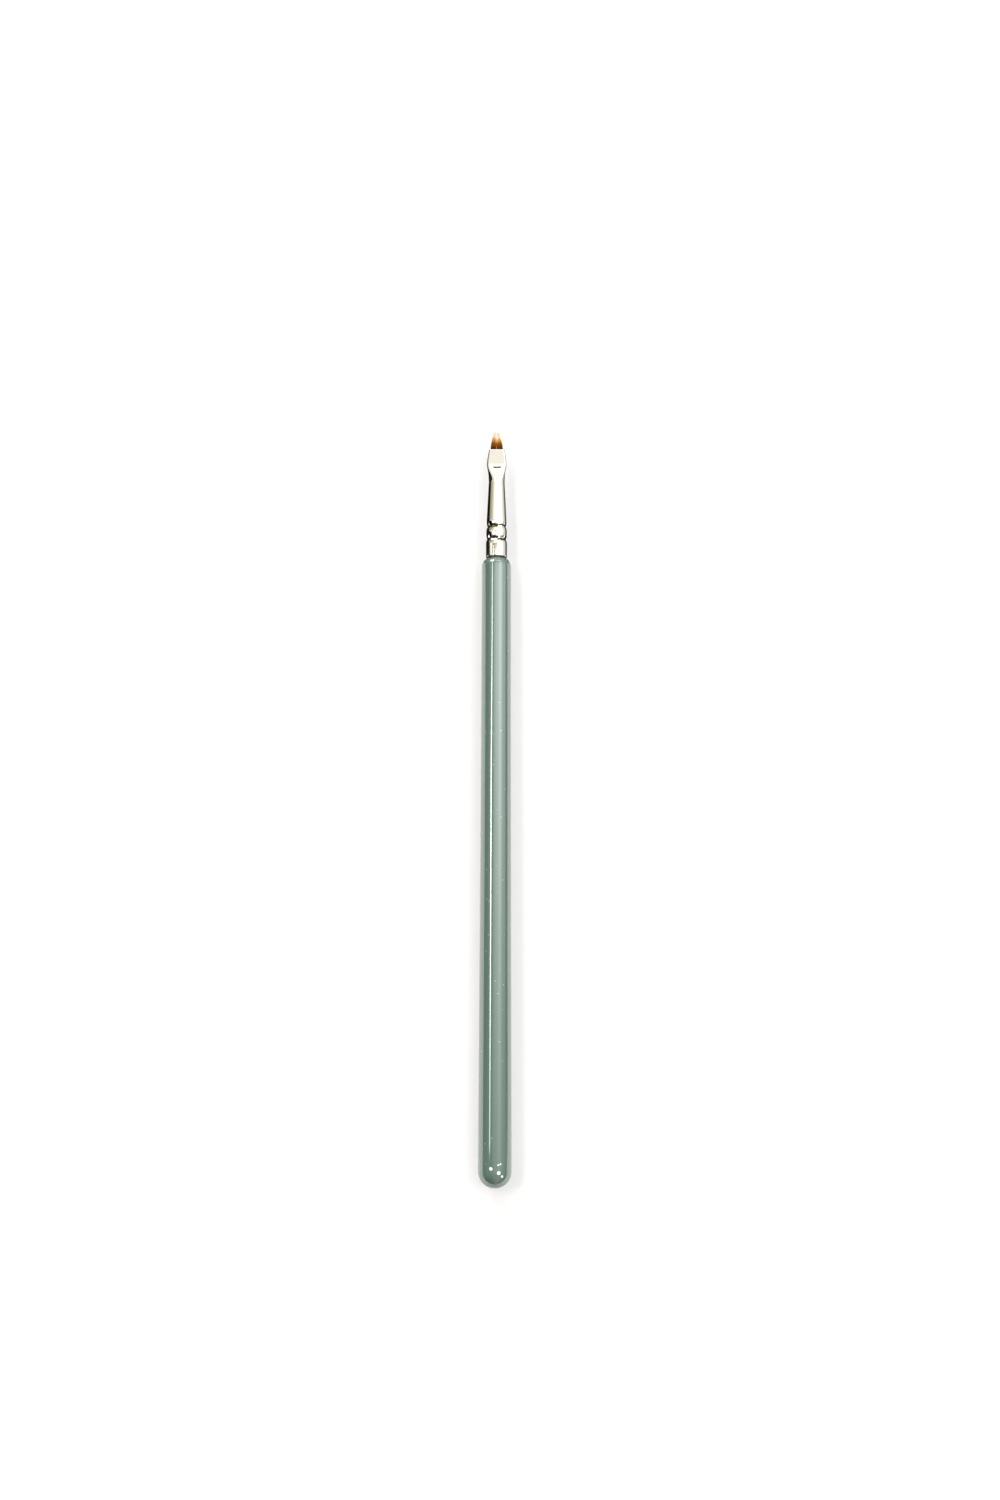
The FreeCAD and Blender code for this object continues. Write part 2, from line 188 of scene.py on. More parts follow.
def oblong_ring(half_width, half_thick, corner, count):
    """Points at even steps round a rounded oblong, as pairs of X and Z from its middle."""
    side = half_thick - corner
    bend = corner * math.pi / 2
    top = half_width - corner
    quarter = side + bend + top
    signs = [(1, 1), (-1, 1), (-1, -1), (1, -1)]
    points = []
    for index in range(count):
        turn, place = divmod(4 * index, count)
        share = place / count
        travelled = quarter * (share if turn % 2 == 0 else 1 - share)
        if travelled <= side:
            across, up = half_width, travelled
        elif travelled < side + bend:
            turned = (travelled - side) / corner
            across = top + corner * math.cos(turned)
            up = side + corner * math.sin(turned)
        else:
            across, up = quarter - travelled, half_thick
        points.append((across * signs[turn][0], up * signs[turn][1]))
    return points


def ring_at(station, section, count):
    """A section as points in space: half width, half thickness and corner radius."""
    return [
        Vector((across, station, AXIS_HEIGHT + up))
        for across, up in oblong_ring(*section, count)
    ]


def add_skin(shape, rings, wrap=False):
    """Faces between neighbouring rings, and from the last ring to the first if they wrap."""
    rows = [[shape.verts.new(point) for point in ring] for ring in rings]
    pairs = list(zip(rows, rows[1:] + rows[:1])) if wrap else list(zip(rows, rows[1:]))
    for row, following in pairs:
        for index in range(len(row)):
            after = (index + 1) % len(row)
            shape.faces.new((row[index], row[after], following[after], following[index]))
    return rows


def add_cap(shape, row, point):
    """A fan of triangles from a ring to a point."""
    middle = shape.verts.new(point)
    for index, corner in enumerate(row):
        shape.faces.new((corner, row[(index + 1) % len(row)], middle))


def new_piece(name, shape, sharp_degrees=60):
    """A smooth mesh object from a bmesh, with its sharp edges marked."""
    bmesh.ops.recalc_face_normals(shape, faces=shape.faces)
    mesh = bpy.data.meshes.new(name)
    shape.to_mesh(mesh)
    shape.free()
    mesh.shade_smooth()
    mesh.set_sharp_from_angle(angle=math.radians(sharp_degrees))
    piece = bpy.data.objects.new(name, mesh)
    bpy.context.scene.collection.objects.link(piece)
    return piece


def store(piece, name, values):
    """Keep one number per vertex, for the material to read."""
    attribute = piece.data.attributes.new(name, "FLOAT", "POINT")
    attribute.data.foreach_set("value", values)


def steps(start, end, count):
    """Evenly spaced values from start to end, both included."""
    return [start + (end - start) * index / count for index in range(count + 1)]


def ease(share):
    """A smooth rise from 0 to 1."""
    share = min(1.0, max(0.0, share))
    return share * share * (3 - 2 * share)


def mix(first, second, share):
    """A value part of the way from first to second."""
    return first + (second - first) * share


# Material tools

def new_tree(material):
    """The emptied node tree of a new material or world."""
    material.use_nodes = True
    material.node_tree.nodes.clear()
    return material.node_tree


def add_node(tree, kind, inputs=None, **values):
    """A node with its own values, and values or links for its inputs."""
    node = tree.nodes.new(kind)
    for name, value in values.items():
        setattr(node, name, value)
    for name, value in (inputs or {}).items():
        if isinstance(value, bpy.types.NodeSocket):
            tree.links.new(value, node.inputs[name])
        else:
            node.inputs[name].default_value = value
    return node


def calculate(tree, operation, *values):
    """The result of one Math node."""
    node = add_node(tree, "ShaderNodeMath", dict(enumerate(values)), operation=operation)
    return node.outputs[0]


def times(tree, total, *values):
    """The product of several values."""
    for value in values:
        total = calculate(tree, "MULTIPLY", total, value)
    return total


def plus(tree, total, *values):
    """The sum of several values."""
    for value in values:
        total = calculate(tree, "ADD", total, value)
    return total


def map_range(tree, value, low, high, start=0.0, end=1.0, smooth=True):
    """A value carried from one range to another."""
    node = add_node(
        tree, "ShaderNodeMapRange",
        {"Value": value, "From Min": low, "From Max": high, "To Min": start, "To Max": end},
        interpolation_type="SMOOTHSTEP" if smooth else "LINEAR",
    )
    return node.outputs["Result"]


def mix_color(tree, share, first, second):
    """A colour between two others."""
    node = add_node(tree, "ShaderNodeMix", data_type="RGBA")
    for index, value in ((0, share), (6, first), (7, second)):
        socket = node.inputs[index]
        if isinstance(value, bpy.types.NodeSocket):
            tree.links.new(value, socket)
        elif isinstance(value, float):
            socket.default_value = value
        else:
            socket.default_value = (*value, 1.0)
    return node.outputs[2]


def scale_color(tree, shade, level):
    """A colour made brighter or darker."""
    node = add_node(
        tree, "ShaderNodeVectorMath", {0: shade, "Scale": level}, operation="SCALE")
    return node.outputs[0]


def color_ramp(tree, value, interpolation, stops):
    """A row of colours over a value from 0 to 1. Each stop is a place and a colour."""
    node = add_node(tree, "ShaderNodeValToRGB", {"Fac": value})
    ramp = node.color_ramp
    ramp.interpolation = interpolation
    while len(ramp.elements) < len(stops):
        ramp.elements.new(0.5)
    for element, (position, shade) in zip(ramp.elements, stops):
        element.position = position
        element.color = (*shade, 1.0)
    return node.outputs["Color"]


def stretched(tree, scale=(1.0, 1.0, 1.0)):
    """The object's own coordinates, stretched along each axis."""
    place = add_node(tree, "ShaderNodeTexCoord").outputs["Object"]
    node = add_node(tree, "ShaderNodeMapping", {"Vector": place, "Scale": scale})
    return node.outputs["Vector"]


def new_material(name):
    """A new material, its node tree, and the object's own coordinates in it."""
    material = bpy.data.materials.new(name)
    tree = new_tree(material)
    return material, tree, stretched(tree)


def split(tree, place):
    """The three parts of a position."""
    return add_node(tree, "ShaderNodeSeparateXYZ", {"Vector": place}).outputs


def stored(tree, name):
    """A number that the mesh keeps for each vertex."""
    return add_node(tree, "ShaderNodeAttribute", attribute_name=name).outputs["Fac"]


def noise(tree, place, scale, detail=3.0, roughness=0.5):
    """Soft noise from 0 to 1."""
    node = add_node(
        tree, "ShaderNodeTexNoise",
        {"Vector": place, "Scale": scale, "Detail": detail, "Roughness": roughness},
    )
    return node.outputs[0]


def new_group(name, inputs, outputs):
    """An empty shader node group with named inputs and outputs."""
    tree = bpy.data.node_groups.new(name, "ShaderNodeTree")
    for label, kind, default in inputs:
        socket = tree.interface.new_socket(name=label, in_out="INPUT", socket_type=kind)
        if default is not None:
            socket.default_value = default
    for label, kind in outputs:
        tree.interface.new_socket(name=label, in_out="OUTPUT", socket_type=kind)
    return tree


def handled_surface():
    """Shared finish: a faint unevenness, and smudges where fingers have been."""
    found = bpy.data.node_groups.get("handled_surface")
    if found:
        return found
    tree = new_group(
        "handled_surface",
        [
            ("Place", "NodeSocketVector", None),
            ("Wave Scale", "NodeSocketFloat", 700.0),
            ("Smudge Scale", "NodeSocketFloat", 90.0),
            ("Clean Roughness", "NodeSocketFloat", 0.05),
            ("Smudged Roughness", "NodeSocketFloat", 0.12),
        ],
        [
            ("Height", "NodeSocketFloat"),
            ("Smudge", "NodeSocketFloat"),
            ("Roughness", "NodeSocketFloat"),
        ],
    )
    given = add_node(tree, "NodeGroupInput").outputs
    height = noise(tree, given["Place"], given["Wave Scale"], detail=2.0, roughness=0.4)
    cloud = noise(tree, given["Place"], given["Smudge Scale"], detail=5.0, roughness=0.62)
    smudge = map_range(tree, cloud, 0.46, 0.72)
    roughness = map_range(
        tree, smudge, 0.0, 1.0, given["Clean Roughness"], given["Smudged Roughness"], smooth=False)
    add_node(
        tree, "NodeGroupOutput", {"Height": height, "Smudge": smudge, "Roughness": roughness})
    return tree


def lengthwise_streaks():
    """Shared finish: fine lines along the brush, from drawing a tube or a filament."""
    found = bpy.data.node_groups.get("lengthwise_streaks")
    if found:
        return found
    tree = new_group(
        "lengthwise_streaks",
        [
            ("Place", "NodeSocketVector", None),
            ("Fineness", "NodeSocketFloat", 9000.0),
            ("Run", "NodeSocketFloat", 0.02),
        ],
        [("Height", "NodeSocketFloat"), ("Streak", "NodeSocketFloat")],
    )
    given = add_node(tree, "NodeGroupInput").outputs
    scale = add_node(
        tree, "ShaderNodeCombineXYZ", {"X": 1.0, "Y": given["Run"], "Z": 1.0}).outputs[0]
    drawn = add_node(
        tree, "ShaderNodeVectorMath", {0: given["Place"], 1: scale}, operation="MULTIPLY")
    lines = noise(tree, drawn.outputs[0], given["Fineness"], detail=4.0, roughness=0.65)
    streak = map_range(tree, lines, 0.56, 0.74)
    add_node(tree, "NodeGroupOutput", {"Height": lines, "Streak": streak})
    return tree


def use_group(tree, group, inputs):
    """Place a node group in a tree, with its own values."""
    return add_node(tree, "ShaderNodeGroup", inputs, node_tree=group).outputs


def finish_material(tree, height, inputs, strength, distance):
    """A Principled shader with a bump, joined to the material's output."""
    bump = add_node(
        tree, "ShaderNodeBump",
        {"Strength": strength, "Distance": distance, "Height": height},
    )
    shader = add_node(tree, "ShaderNodeBsdfPrincipled", {**inputs, "Normal": bump.outputs[0]})
    add_node(tree, "ShaderNodeOutputMaterial", {"Surface": shader.outputs[0]})


# Materials

# Pale dots painted on the upper half of the lacquer near the butt, as highlights of small
# lamps: X, distance from the butt end, and radius.
PAINTED_HIGHLIGHTS = [
    (-0.86 * MM, 4.8 * MM, 0.36 * MM),
    (0.88 * MM, 3.9 * MM, 0.38 * MM),
    (1.64 * MM, 3.1 * MM, 0.27 * MM),
    (0.78 * MM, 5.6 * MM, 0.17 * MM),
    (1.26 * MM, 5.8 * MM, 0.19 * MM),
]
# Each painted highlight fades between these shares of its radius.
HIGHLIGHT_EDGE = (1.25, 0.6)


def painted_highlight_mask(tree, place):
    """A mask of the painted highlights near the butt, on the upper half only."""
    apart = split(tree, place)
    total = None
    for across, from_end, radius in PAINTED_HIGHLIGHTS:
        side = calculate(tree, "SUBTRACT", apart["X"], across)
        along = calculate(tree, "SUBTRACT", apart["Y"], BUTT_END + from_end)
        squares = plus(tree, times(tree, side, side), times(tree, along, along))
        away = calculate(tree, "SQRT", squares)
        spot = map_range(tree, away, *(radius * share for share in HIGHLIGHT_EDGE))
        total = spot if total is None else calculate(tree, "MAXIMUM", total, spot)
    return times(tree, total, map_range(tree, apart["Z"], AXIS_HEIGHT, AXIS_HEIGHT + MM))


def lacquer_material(settings):
    """Grey-green gloss lacquer over wood, with a faint orange peel, small dust nibs, painted
    highlights near the butt and a ring of painted shade behind the ferrule.
    """
    material, tree, place = new_material("grey_green_lacquer")
    surface = use_group(tree, handled_surface(), {
        "Place": place, "Wave Scale": 420.0, "Smudge Scale": 75.0,
        "Clean Roughness": 0.035, "Smudged Roughness": 0.07,
    })
    grain = noise(tree, stretched(tree, (1.0, 0.05, 1.0)), 900.0, detail=4.0)
    nibs = add_node(
        tree, "ShaderNodeTexVoronoi", {"Vector": place, "Scale": 520.0, "Randomness": 1.0})
    nib = map_range(tree, nibs.outputs["Distance"], 0.10, 0.04)
    painted_highlights = painted_highlight_mask(tree, place)
    lacquer = Vector(settings.lacquer)
    body = mix_color(tree, grain, tuple(lacquer * 0.94), tuple(lacquer * 1.06))
    dusty = mix_color(tree, times(tree, nib, 0.25), body, tuple(settings.dust_and_highlight))
    # Painted highlights: pale dots on the upper half near the butt.
    highlighted = mix_color(tree, painted_highlights, dusty, tuple(settings.dust_and_highlight))
    # Painted shade: the ring in the recess behind the ferrule is near black, and rougher.
    foot = JUNCTION - settings.seam_width
    seam_shade_ring = map_range(tree, split(tree, place)["Y"], foot - 0.02 * MM, foot + 0.06 * MM)
    body_color = mix_color(tree, seam_shade_ring, highlighted, tuple(settings.seam))
    height = plus(tree, surface["Height"], times(tree, nib, 0.5), times(tree, painted_highlights, 1.5))
    roughness = plus(tree, surface["Roughness"], times(tree, seam_shade_ring, 0.5))
    finish_material(
        tree, height, {"Base Color": body_color, "Roughness": roughness, "IOR": 1.7},
        strength=0.10, distance=0.008 * MM)
    return material


def nickel_material(settings):
    """Bright nickel plate, drawn lengthwise, darkened in the crimp grooves, behind the rim, at the
    press mark and at the sides: partly dirt, partly painted shade and painted dark reflections.
    """
    material, tree, place = new_material("bright_nickel_plate")
    surface = use_group(tree, handled_surface(), {
        "Place": place, "Wave Scale": 900.0, "Smudge Scale": 260.0,
        "Clean Roughness": 0.05, "Smudged Roughness": 0.13,
    })
    streaks = use_group(tree, lengthwise_streaks(), {
        "Place": place, "Fineness": 5200.0, "Run": 0.03,
    })
    groove = stored(tree, "groove")
    dirt_and_shade = stored(tree, "dirt_and_shade")
    blotch = noise(tree, place, 1500.0, detail=4.0, roughness=0.6)
    patchy = map_range(tree, blotch, 0.40, 0.66)
    deep = map_range(tree, groove, 0.5, 1.0, 0.0, 0.6)
    ragged = plus(tree, dirt_and_shade, map_range(tree, blotch, 0.35, 0.65, -0.25, 0.25))
    solid = times(tree, map_range(tree, ragged, 0.15, 0.75), map_range(tree, dirt_and_shade, 0.0, 0.1))
    # Dark paint, partly dirt and partly painted shade and painted dark reflections.
    dirt_and_shade_mask = calculate(tree, "MAXIMUM", times(tree, deep, patchy), solid)
    nickel = Vector(settings.nickel)
    metal = mix_color(
        tree, times(tree, streaks["Streak"], 0.5), tuple(nickel), tuple(nickel * 0.82))
    darkened = mix_color(tree, dirt_and_shade_mask, metal, tuple(settings.dirt_and_shade_color))
    roughness = plus(tree, surface["Roughness"], times(tree, dirt_and_shade_mask, 0.25))
    height = plus(tree, surface["Height"], times(tree, streaks["Height"], 0.6))
    finish_material(
        tree, height, {"Base Color": darkened, "Roughness": roughness, "Metallic": 1.0},
        strength=0.07, distance=0.01 * MM)
    return material


def resin_material():
    """Cured amber resin, with a slightly wavy poured face."""
    material, tree, place = new_material("amber_resin")
    surface = use_group(tree, handled_surface(), {
        "Place": place, "Wave Scale": 1300.0, "Smudge Scale": 500.0,
        "Clean Roughness": 0.12, "Smudged Roughness": 0.30,
    })
    body = mix_color(tree, surface["Smudge"], (0.55, 0.33, 0.10), (0.38, 0.20, 0.05))
    finish_material(
        tree, surface["Height"],
        {"Base Color": body, "Roughness": surface["Roughness"], "IOR": 1.55},
        strength=0.35, distance=0.03 * MM)
    return material


def hair_material(settings):
    """Tapered filament, near black at the mouth, brown along the strand and pale at the tip."""
    material, tree, place = new_material("brown_filament")
    along = stored(tree, "along")
    strand = stored(tree, "strand")
    dyed = color_ramp(tree, plus(tree, along, times(tree, strand, 0.14)), "EASE", [
        (0.0, settings.root), (0.12, settings.root), (0.24, Vector(settings.belly) * 0.35),
        (0.48, settings.belly), (0.67, settings.neck), (0.86, settings.tip),
    ])
    tone = scale_color(tree, dyed, map_range(tree, strand, 0.0, 1.0, 0.72, 1.22, smooth=False))
    streaks = use_group(tree, lengthwise_streaks(), {
        "Place": place, "Fineness": 20000.0, "Run": 0.05,
    })
    roughness = map_range(tree, streaks["Streak"], 0.0, 1.0, 0.34, 0.5, smooth=False)
    finish_material(
        tree, streaks["Height"],
        {"Base Color": tone, "Roughness": roughness, "Specular IOR Level": 0.06},
        strength=0.15, distance=0.004 * MM)
    return material


# The table's glow in reflections, a painted reflection, is dimmer next to the brush as painted
# shade and rises over this distance from it; the cards' painted glow grows paler over the second
# one.
GLEAM_RANGE = (4 * MM, 16 * MM)
CARD_RANGE = (4 * MM, 25 * MM)


def floor_material(settings):
    """A matt pale table top with a very faint tooth. It glows though it is no lamp: painted light
    for the camera and on the brush, and painted reflections, dimmer beside the brush as painted
    shade.
    """
    material, tree, place = new_material("pale_table")
    tooth = noise(tree, place, 1200.0, detail=3.0)
    cloud = noise(tree, place, 6.0, detail=2.0)
    tone = Vector(settings.floor)
    body = mix_color(tree, cloud, tuple(tone), tuple(tone * 0.985))
    roughness = map_range(tree, cloud, 0.3, 0.7, 0.6, 0.7)
    aside = calculate(tree, "ABSOLUTE", split(tree, place)["X"])
    # Painted reflection of the table, dimmer beside the brush as painted shade.
    gleam = map_range(tree, aside, *GLEAM_RANGE, settings.near_gleam, settings.far_gleam)
    ray = add_node(tree, "ShaderNodeLightPath").outputs
    unseen = mix_color(tree, ray["Is Glossy Ray"], (settings.bounce,) * 3, gleam)
    glow = mix_color(tree, ray["Is Camera Ray"], unseen, (settings.glow,) * 3)
    finish_material(
        tree, tooth,
        {
            "Base Color": body, "Roughness": roughness,
            "Emission Color": glow, "Emission Strength": 1.0,
        },
        strength=0.05, distance=0.02 * MM)
    return material


def card_material(side, near, far):
    """Matt black card, faintly uneven, that glows paler away from the brush: a painted reflection,
    seen only in reflections.
    """
    material, tree, place = new_material(f"{side}_card")
    paper = noise(tree, place, 800.0)
    body = mix_color(tree, paper, (0.003, 0.003, 0.002), (0.006, 0.006, 0.005))
    aside = calculate(tree, "ABSOLUTE", split(tree, place)["X"])
    tone = map_range(tree, aside, *CARD_RANGE, near, far, smooth=False)
    shade = mix_color(tree, tone, (0.0, 0.0, 0.0), (1.0, 1.0, 1.0))
    finish_material(
        tree, paper,
        {
            "Base Color": body, "Roughness": 0.9, "Specular IOR Level": 0.0,
            "Emission Color": shade, "Emission Strength": 1.0,
        },
        strength=0.1, distance=0.02 * MM)
    return material


# Grooves

# A groove's outline is two bell curves, each with its share of the depth and its reach. The
# tube changes from collar to bead, and from bead to cone, over the step's run.
GROOVE_CURVES = [(0.55, 0.30 * MM), (0.45, 0.72 * MM)]
GROOVE_REACH = 1.5 * MM
STEP_RUN = 0.6 * MM

# How unevenly the grooves are rolled: share of the depth, waves round the tube, share of the
# phase and shift of each wave. The front groove has a phase of its own. The last value is a
# little more than all the waves together.
ROLL_WAVES = [(0.16, 4, 1.0, 0.0), (0.12, 7, 2.3, 0.7), (0.07, 13, 1.0, 2.0)]
FRONT_PHASE = 1.9
ROLL_LIMIT = 0.36

# Rings close behind the rim, which hold the shading of the collar.
RIM_RINGS = (0.10 * MM, 0.14 * MM)


def groove_share(station, settings):
    """How deep a station lies in the crimp grooves, from 0 on the collar to 1."""
    rear = JUNCTION + settings.collar_run
    return min(1.0, sum(
        share * math.exp(-(((station - crimp) / reach) ** 2))
        for crimp in (rear, rear + settings.crimp_spacing)
        for share, reach in GROOVE_CURVES
    ))


def rear_radius(station, settings):
    """Outer radius of the round rear of the ferrule, from its rim to its waist."""
    rear = JUNCTION + settings.collar_run
    front = rear + settings.crimp_spacing
    collar_to_bead = ease((station - rear) / STEP_RUN + 0.5)
    bead_to_cone = ease((station - front) / STEP_RUN + 0.5)
    down_cone = max(0.0, (station - front) / (WAIST - front))
    cone = mix(settings.cone_radius, settings.waist_radius, down_cone)
    round_rear = mix(COLLAR_RADIUS, settings.bead_radius, collar_to_bead)
    radius = mix(round_rear, cone, bead_to_cone)
    return radius - settings.crimp_depth * groove_share(station, settings)


def crimp_stations(settings):
    """Stations from the rim to the waist, close together where the grooves are."""
    rear = JUNCTION + settings.collar_run - GROOVE_REACH
    front = rear + settings.crimp_spacing + 2 * GROOVE_REACH
    first, second = (JUNCTION + inside for inside in RIM_RINGS)
    return (
        [first] + steps(second, rear, 10)[:-1] + steps(rear, front, 84)[:-1]
        + steps(front, WAIST, 30)
    )


# Handle

# Counts of rings round the butt, down the taper and round the shoulder, and of sides.
BUTT_RINGS = 26
TAPER_RINGS = 90
SHOULDER_RINGS = 18
HANDLE_SIDES = 128

# A ring just behind the shoulder holds the shading of the taper. The seam drops over its lip
# to the tenon, and the tenon ends in a chamfer, with no groove pressed close to it.
HOLDING = 0.05 * MM
SEAM_LIP = 0.04 * MM
SEAM_END = 0.2 * MM
CHAMFER = 0.2 * MM
TENON_MARGIN = 0.3 * MM


def taper_points(settings, count):
    """Station and radius down the long taper, from the butt to the shoulder."""
    start = BUTT_END + BUTT_RADIUS
    end = JUNCTION - settings.seam_width - settings.shoulder_run
    stations = (start, start + settings.swell_run, end - settings.slim_run, end)
    radii = (BUTT_RADIUS, BUTT_RADIUS, settings.slim_radius, settings.slim_radius)
    points = []
    for share in steps(0.0, 1.0, count):
        rest = 1 - share
        weights = (rest ** 3, 3 * rest ** 2 * share, 3 * rest * share ** 2, share ** 3)
        points.append((
            sum(weight * station for weight, station in zip(weights, stations)),
            sum(weight * radius for weight, radius in zip(weights, radii)),
        ))
    return points


def shoulder_points(settings, count):
    """Station and radius round the front shoulder, down to the seam behind the ferrule."""
    drop = settings.slim_radius - COLLAR_RADIUS - settings.seam_step
    start = JUNCTION - settings.seam_width - settings.shoulder_run
    bend = 2 / settings.shoulder_fullness
    return [
        (start + settings.shoulder_run * math.sin(turned) ** bend,
         settings.slim_radius - drop * (1 - math.cos(turned) ** bend))
        for turned in steps(0.0, math.pi / 2, count)[:-1]
    ] + [(start + settings.shoulder_run, settings.slim_radius - drop)]


def tenon_radius(station, settings, tube):
    """Radius of the tenon inside the tube, clear of the tube's uneven grooves."""
    uneven = ROLL_LIMIT * tube.crimp_depth * groove_share(station, tube)
    return rear_radius(station, tube) - settings.tenon_inset - uneven


def handle_profile(settings, tube):
    """Station and radius of every ring of the handle, from the butt to the tenon's end."""
    butt = [
        (BUTT_END + BUTT_RADIUS * (1 - math.cos(turned)), BUTT_RADIUS * math.sin(turned))
        for turned in steps(0.0, math.pi / 2, BUTT_RINGS)[1:-1]
    ]
    taper = taper_points(settings, TAPER_RINGS)[:-1]
    shoulder = shoulder_points(settings, SHOULDER_RINGS)
    holding = [(shoulder[0][0] - HOLDING, settings.slim_radius)]
    foot = JUNCTION - settings.seam_width
    neck = COLLAR_RADIUS - settings.tenon_inset
    seam = [(foot, COLLAR_RADIUS), (foot + SEAM_LIP, neck), (foot + SEAM_END, neck)]
    inside = [s for s in crimp_stations(tube) if s < TENON_END - TENON_MARGIN]
    tenon = [(s, tenon_radius(s, settings, tube)) for s in [JUNCTION] + inside]
    end_radius = tenon_radius(TENON_END, settings, tube)
    end = [
        (TENON_END - CHAMFER, end_radius),
        (TENON_END, end_radius - CHAMFER),
        (TENON_END, end_radius / 2),
    ]
    return butt + taper + holding + shoulder + seam + tenon + end


def build_handle(settings, tube):
    """The turned handle, with its tenon inside the ferrule."""
    shape = bmesh.new()
    rings = [
        ring_at(station, (radius, radius, radius), HANDLE_SIDES)
        for station, radius in handle_profile(settings, tube)
    ]
    rows = add_skin(shape, rings)
    add_cap(shape, rows[0], (0.0, BUTT_END, AXIS_HEIGHT))
    add_cap(shape, rows[-1], (0.0, TENON_END, AXIS_HEIGHT))
    return new_piece("lacquered_handle", shape, sharp_degrees=35)


# Ferrule

# The pressed front. Along the flare its width grows late and its corners early, and past the
# crease the flare's thickness keeps falling below the flat face's. The corner radii are
# shares of the half thickness at the crease and at the mouth. The width of the flat face
# falls by a straight share and by a curved one.
FLARE_DELAY = 1.45
CORNER_LEAD = 1.02
CORNER_RISE = 0.85
PAST_CREASE = 3.0
CREASE_SOFTNESS = 0.06 * MM
CREASE_CORNER = 0.52
MOUTH_CORNER = 0.56
FACE_STRAIGHT = 0.45
FACE_CURVE = 2.2


def smooth_peak(first, second, softness):
    """The larger of two values, with a soft crossing."""
    reach = max(0.0, softness - abs(first - second)) / softness
    return max(first, second) + reach * reach * softness / 4


def front_section(station, settings):
    """Half width, half thickness and corner radius of the pressed front at a station."""
    in_flare = min(1.0, max(0.0, (station - WAIST) / (CREASE - WAIST)))
    in_face = (station - CREASE) / (MOUTH - CREASE)
    cone_run = WAIST - JUNCTION - settings.collar_run - settings.crimp_spacing
    cone_slope = (settings.cone_radius - settings.waist_radius) / cone_run
    if in_flare < 1:
        pressed = ease(0.5 * in_flare) * 2
    else:
        pressed = 1 + PAST_CREASE * (station - CREASE) / (CREASE - WAIST)
    flare_thick = mix(
        settings.waist_radius - cone_slope * (station - WAIST), settings.crease_thick, pressed)
    face_thick = mix(settings.crease_thick, settings.mouth_thick, in_face)
    half_thick = smooth_peak(flare_thick, face_thick, CREASE_SOFTNESS)
    if in_face <= 0:
        grown = ease(in_flare ** FLARE_DELAY)
        half_width = mix(settings.waist_radius, settings.crease_width, grown)
    else:
        fallen = mix(in_face ** FACE_CURVE, in_face, FACE_STRAIGHT)
        half_width = mix(settings.crease_width, settings.mouth_width, fallen)
    crease_corner = CREASE_CORNER * settings.crease_thick
    mouth_corner = MOUTH_CORNER * settings.mouth_thick
    face_corner = mix(crease_corner, mouth_corner, max(0.0, in_face))
    corner = mix(half_thick, face_corner, ease(in_flare * CORNER_LEAD) ** CORNER_RISE)
    return half_width, half_thick, min(corner, half_thick)


def ferrule_section(station, settings):
    """Half width, half thickness and corner radius of the tube's outside at a station."""
    if station >= WAIST:
        return front_section(station, settings)
    radius = rear_radius(station, settings)
    return radius, radius, radius


def roll_wobble(station, turned, settings):
    """How unevenly the rolling tool has pressed a groove, round the tube."""
    rear = JUNCTION + settings.collar_run
    phase = 0.0 if station < rear + settings.crimp_spacing / 2 else FRONT_PHASE
    return sum(
        share * math.sin(count * turned + turn * phase + shift)
        for share, count, turn, shift in ROLL_WAVES
    )


# The mark that the edge of the press has left: its distance behind the crease, its reach
# along the tube, how far its middle lies to the right, its full half width and the fading
# end beyond it, its depth, and how strongly it is painted dark, partly as dirt and partly as
# painted shade.
PRESS_MARK = 0.90 * MM
MARK_REACH = 0.20 * MM
MARK_SHIFT = 0.05 * MM
MARK_WIDTH = 0.7 * MM
MARK_FADE = 0.5 * MM
MARK_DEPTH = 0.04 * MM
MARK_DIRT_AND_SHADE = 1.4


def crease_mark(station, across):
    """How deep the edge of the press has marked the tube behind its crease, from 0 to 1."""
    away = (station - CREASE + PRESS_MARK) / MARK_REACH
    beyond = (abs(across - MARK_SHIFT) - MARK_WIDTH) / MARK_FADE
    return math.exp(-away * away) * (1 - ease(beyond))


# Dark patches in the grooves, partly dirt and partly painted shade, and at the tube's far sides
# painted dark reflections: which groove, from and to as shares of the tube's half width,
# distance in front of the groove's middle, and half its height along the tube.
GROOVE_DIRT_AND_SHADE = [
    (0, -1.10, -0.78, 0.00 * MM, 0.60 * MM),
    (0, -0.52, 0.20, -0.02 * MM, 0.30 * MM),
    (0, 0.10, 0.82, -0.38 * MM, 0.26 * MM),
    (0, 0.80, 1.10, 0.08 * MM, 0.55 * MM),
    (1, -1.10, -0.78, 0.05 * MM, 0.60 * MM),
    (1, -0.62, 0.14, -0.12 * MM, 0.40 * MM),
    (1, 0.20, 0.85, 0.06 * MM, 0.16 * MM),
    (1, 0.84, 1.10, -0.08 * MM, 0.50 * MM),
]
# A patch is full up to the first share of its half height and gone at the second, and its
# ends fade over a share of the tube's half width. More painted shade lies behind the rim.
PATCH_FULL = 0.6
PATCH_GONE = 1.4
PATCH_FADE = 0.14
RIM_SHADE = 0.16 * MM


